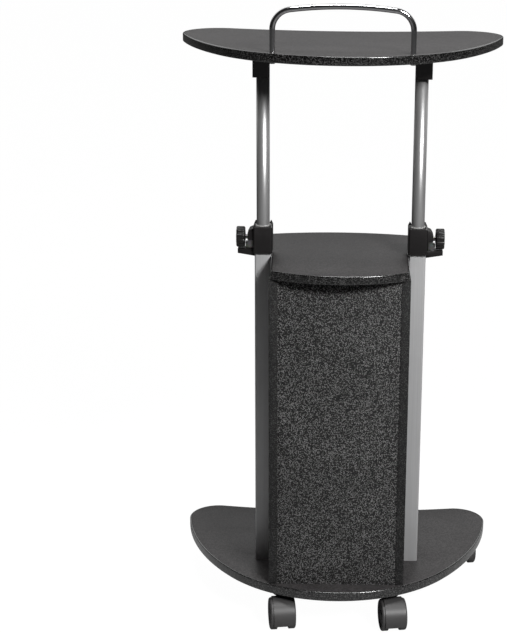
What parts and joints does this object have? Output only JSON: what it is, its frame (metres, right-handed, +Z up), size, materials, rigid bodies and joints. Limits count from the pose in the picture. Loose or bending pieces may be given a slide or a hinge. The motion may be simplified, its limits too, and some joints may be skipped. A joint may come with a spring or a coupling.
{
  "type": "presentation lectern",
  "caption": "Rolling height-adjustable lectern: crescent top board on two telescoping masts over a slim cabinet, on a crescent base with swivel casters.",
  "frame": {"origin": "on the floor, under the middle of the whole object's box", "axes": "+Z up, the presenter's open side towards +Y, the audience towards -Y, +X to the right seen from the audience"},
  "size_m": [0.5998, 0.3932, 1.1659],
  "materials": {
    "board": "dark grey satin laminate on fibreboard",
    "panel": "fine-grained charcoal laminate on fibreboard",
    "edge": "thick dark edge band, rounded",
    "anodised": "satin anodised",
    "bright_rod": "bright",
    "moulded": "moulded black, fine texture",
    "knob": "moulded black, ribbed",
    "zinc": "zinc plated",
    "caster_shell": "satin dark grey nylon",
    "acetal": "natural acetal",
    "hardwood": "fluted dowel"
  },
  "bodies": {
    "base": {"base_board": "board", "base_edge_band": "edge", "side_panel_left": "panel", "side_panel_right": "panel", "front_panel": "panel", "mid_shelf": "board", "mid_shelf_edge_band": "edge", "inner_shelf": "panel", "shelf_pins": "zinc", "shelf_dowels": "hardwood", "back_rail": "panel", "post_left": "anodised", "post_right": "anodised", "post_feet": "moulded", "post_bolts": "zinc", "post_screws": "zinc", "panel_screws": "zinc", "collar_left": "moulded", "collar_right": "moulded", "guide_bush_left": "acetal", "guide_bush_right": "acetal", "clamp_nuts": "zinc", "caster_plates": "zinc", "caster_screws": "zinc"},
    "top": {"tube_left": "anodised", "tube_right": "anodised", "tube_guide_left": "moulded", "tube_guide_right": "moulded", "top_bracket_left": "moulded", "top_bracket_right": "moulded", "bracket_screws": "zinc", "tube_screws": "zinc", "top_board": "board", "top_edge_band": "edge", "loop_bar": "bright_rod", "loop_screws": "zinc"},
    "pad_left": {"clamp_pad_left": "acetal"},
    "knob_left": {"knob_left": "knob", "knob_stud_left": "zinc"},
    "pad_right": {"clamp_pad_right": "acetal"},
    "knob_right": {"knob_right": "knob", "knob_stud_right": "zinc"},
    "caster_front_left": {"caster_hood_front_left": "caster_shell", "caster_axle_front_left": "zinc"},
    "wheel_front_left_left": {"caster_wheel_front_left_left": "caster_shell"},
    "wheel_front_left_right": {"caster_wheel_front_left_right": "caster_shell"},
    "caster_front_right": {"caster_hood_front_right": "caster_shell", "caster_axle_front_right": "zinc"},
    "wheel_front_right_left": {"caster_wheel_front_right_left": "caster_shell"},
    "wheel_front_right_right": {"caster_wheel_front_right_right": "caster_shell"},
    "caster_rear_left": {"caster_hood_rear_left": "caster_shell", "caster_axle_rear_left": "zinc"},
    "wheel_rear_left_left": {"caster_wheel_rear_left_left": "caster_shell"},
    "wheel_rear_left_right": {"caster_wheel_rear_left_right": "caster_shell"},
    "brake_rear_left": {"brake_lever_rear_left": "caster_shell"},
    "caster_rear_right": {"caster_hood_rear_right": "caster_shell", "caster_axle_rear_right": "zinc"},
    "wheel_rear_right_left": {"caster_wheel_rear_right_left": "caster_shell"},
    "wheel_rear_right_right": {"caster_wheel_rear_right_right": "caster_shell"},
    "brake_rear_right": {"brake_lever_rear_right": "caster_shell"}
  },
  "joints": [
    {"name": "height_slide", "type": "slide", "parent": "base", "child": "top", "axis": [0, 0, 1], "range_m": [-0.26, 0.11]},
    {"name": "clamp_left_slide", "type": "slide", "parent": "base", "child": "pad_left", "axis": [-1, 0, 0], "range_m": [0, 0.0025]},
    {"name": "knob_left_turn", "type": "hinge", "parent": "pad_left", "child": "knob_left", "pos_m": [-0.1408, -0.0425, 0.73], "axis": [-1, 0, 0], "range_deg": [0, 721]},
    {"name": "clamp_right_slide", "type": "slide", "parent": "base", "child": "pad_right", "axis": [1, 0, 0], "range_m": [0, 0.0025]},
    {"name": "knob_right_turn", "type": "hinge", "parent": "pad_right", "child": "knob_right", "pos_m": [0.1408, -0.0425, 0.73], "axis": [1, 0, 0], "range_deg": [0, 721]},
    {"name": "swivel_front_left", "type": "hinge", "parent": "base", "child": "caster_front_left", "pos_m": [-0.104, -0.1385, 0.06], "axis": [0, 0, 1], "continuous": true},
    {"name": "roll_front_left_left", "type": "hinge", "parent": "caster_front_left", "child": "wheel_front_left_left", "pos_m": [-0.10087, -0.15825, 0.03], "axis": [0.9877, 0.1564, 0], "continuous": true},
    {"name": "roll_front_left_right", "type": "hinge", "parent": "caster_front_left", "child": "wheel_front_left_right", "pos_m": [-0.10087, -0.15825, 0.03], "axis": [0.9877, 0.1564, 0], "continuous": true},
    {"name": "swivel_front_right", "type": "hinge", "parent": "base", "child": "caster_front_right", "pos_m": [0.104, -0.1385, 0.06], "axis": [0, 0, 1], "continuous": true},
    {"name": "roll_front_right_left", "type": "hinge", "parent": "caster_front_right", "child": "wheel_front_right_left", "pos_m": [0.10713, -0.15825, 0.03], "axis": [0.9877, 0.1564, 0], "continuous": true},
    {"name": "roll_front_right_right", "type": "hinge", "parent": "caster_front_right", "child": "wheel_front_right_right", "pos_m": [0.10713, -0.15825, 0.03], "axis": [0.9877, 0.1564, 0], "continuous": true},
    {"name": "swivel_rear_left", "type": "hinge", "parent": "base", "child": "caster_rear_left", "pos_m": [-0.254, 0.1545, 0.06], "axis": [0, 0, 1], "continuous": true},
    {"name": "roll_rear_left_left", "type": "hinge", "parent": "caster_rear_left", "child": "wheel_rear_left_left", "pos_m": [-0.234, 0.1545, 0.03], "axis": [0, 1, 0], "continuous": true},
    {"name": "roll_rear_left_right", "type": "hinge", "parent": "caster_rear_left", "child": "wheel_rear_left_right", "pos_m": [-0.234, 0.1545, 0.03], "axis": [0, 1, 0], "continuous": true},
    {"name": "brake_rear_left_tip", "type": "hinge", "parent": "caster_rear_left", "child": "brake_rear_left", "pos_m": [-0.224, 0.1545, 0.047], "axis": [0, 1, 0], "range_deg": [-6, 0]},
    {"name": "swivel_rear_right", "type": "hinge", "parent": "base", "child": "caster_rear_right", "pos_m": [0.254, 0.1545, 0.06], "axis": [0, 0, 1], "continuous": true},
    {"name": "roll_rear_right_left", "type": "hinge", "parent": "caster_rear_right", "child": "wheel_rear_right_left", "pos_m": [0.25713, 0.13475, 0.03], "axis": [0.9877, 0.1564, 0], "continuous": true},
    {"name": "roll_rear_right_right", "type": "hinge", "parent": "caster_rear_right", "child": "wheel_rear_right_right", "pos_m": [0.25713, 0.13475, 0.03], "axis": [0.9877, 0.1564, 0], "continuous": true},
    {"name": "brake_rear_right_tip", "type": "hinge", "parent": "caster_rear_right", "child": "brake_rear_right", "pos_m": [0.25869, 0.12487, 0.047], "axis": [0.9877, 0.1564, 0], "range_deg": [-6, 0]}
  ],
  "couplings": [
    {"joint": "knob_left_turn", "follows": "clamp_left_slide", "rad_per_m": 5026.5},
    {"joint": "knob_right_turn", "follows": "clamp_right_slide", "rad_per_m": 5026.5}
  ]
}
